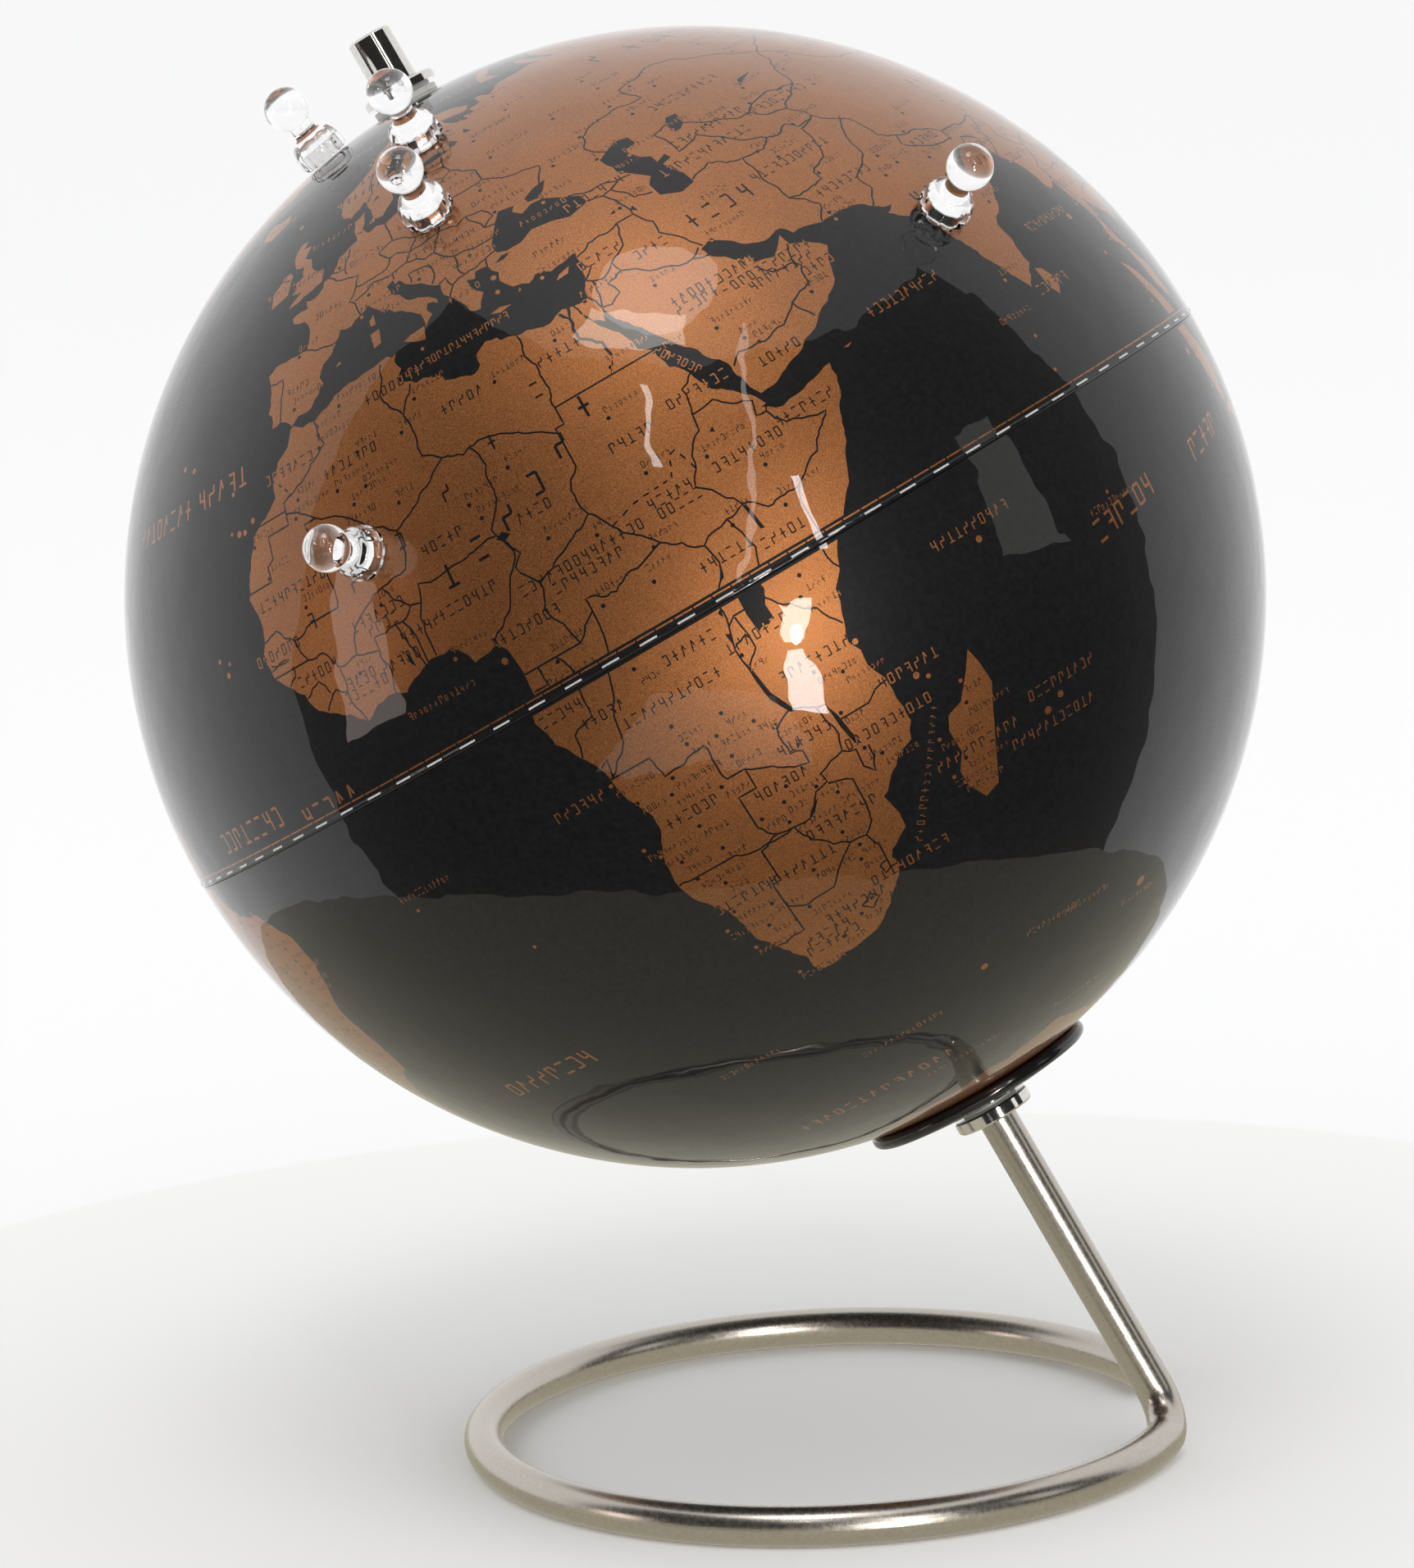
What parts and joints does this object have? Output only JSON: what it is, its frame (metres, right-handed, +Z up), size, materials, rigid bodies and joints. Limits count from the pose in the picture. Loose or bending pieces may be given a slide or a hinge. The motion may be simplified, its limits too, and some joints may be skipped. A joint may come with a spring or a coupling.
{
  "type": "desktop globe on stand",
  "caption": "Glossy black and copper printed steel desktop globe that spins on a leaning bent-rod stand with an open ring base, with clear magnetic push pins.",
  "frame": {"origin": "centre of the base ring, on the desk surface", "axes": "+Z up; the leg rises from the ring's +X side and leans towards -X in the XZ plane; the viewer's side is -Y"},
  "size_m": [0.2299, 0.2367, 0.2935],
  "materials": {
    "satin_nickel": "brushed, satin nickel plate",
    "polished_steel": "turned and polished",
    "axle_steel": "zinc plated",
    "printed_steel": "gloss black and copper print under clear lacquer",
    "black_plastic": "gloss",
    "nylon": "natural nylon",
    "spring_steel": "blued",
    "clear_acrylic": "clear, polished",
    "magnet_nickel": "bright nickel plate"
  },
  "bodies": {
    "stand": {"stand_rod": "satin_nickel", "axle_rod": "axle_steel", "seat_collar": "polished_steel", "lower_thrust_washer": "nylon", "upper_thrust_washer": "nylon", "finial_flange": "polished_steel", "finial_nut": "polished_steel"},
    "globe": {"north_hemisphere": "printed_steel", "south_hemisphere": "printed_steel", "south_dish": "black_plastic", "south_bush": "nylon", "north_bush": "nylon", "south_hub_clip": "spring_steel", "north_hub_clip": "spring_steel"},
    "pin_1": {"pin_1_body": "clear_acrylic", "pin_1_magnet": "magnet_nickel"},
    "pin_2": {"pin_2_body": "clear_acrylic", "pin_2_magnet": "magnet_nickel"},
    "pin_3": {"pin_3_body": "clear_acrylic", "pin_3_magnet": "magnet_nickel"},
    "pin_4": {"pin_4_body": "clear_acrylic", "pin_4_magnet": "magnet_nickel"},
    "pin_5": {"pin_5_body": "clear_acrylic", "pin_5_magnet": "magnet_nickel"}
  },
  "joints": [
    {"name": "globe_spin", "type": "hinge", "parent": "stand", "child": "globe", "pos_m": [-0.02008, 0, 0.1761], "axis": [-0.4726, 0, 0.8813], "continuous": true},
    {"name": "pin_1_pull", "type": "slide", "parent": "globe", "child": "pin_1", "axis": [-0.5775, -0.1596, 0.8006], "range_m": [0, 0.03]},
    {"name": "pin_2_pull", "type": "slide", "parent": "globe", "child": "pin_2", "axis": [-0.3391, -0.4275, 0.838], "range_m": [0, 0.03]},
    {"name": "pin_3_pull", "type": "slide", "parent": "globe", "child": "pin_3", "axis": [-0.2783, -0.6197, 0.7338], "range_m": [0, 0.03]},
    {"name": "pin_4_pull", "type": "slide", "parent": "globe", "child": "pin_4", "axis": [0.5414, -0.4648, 0.7006], "range_m": [0, 0.03]},
    {"name": "pin_5_pull", "type": "slide", "parent": "globe", "child": "pin_5", "axis": [-0.3392, -0.9153, 0.2174], "range_m": [0, 0.03]}
  ]
}
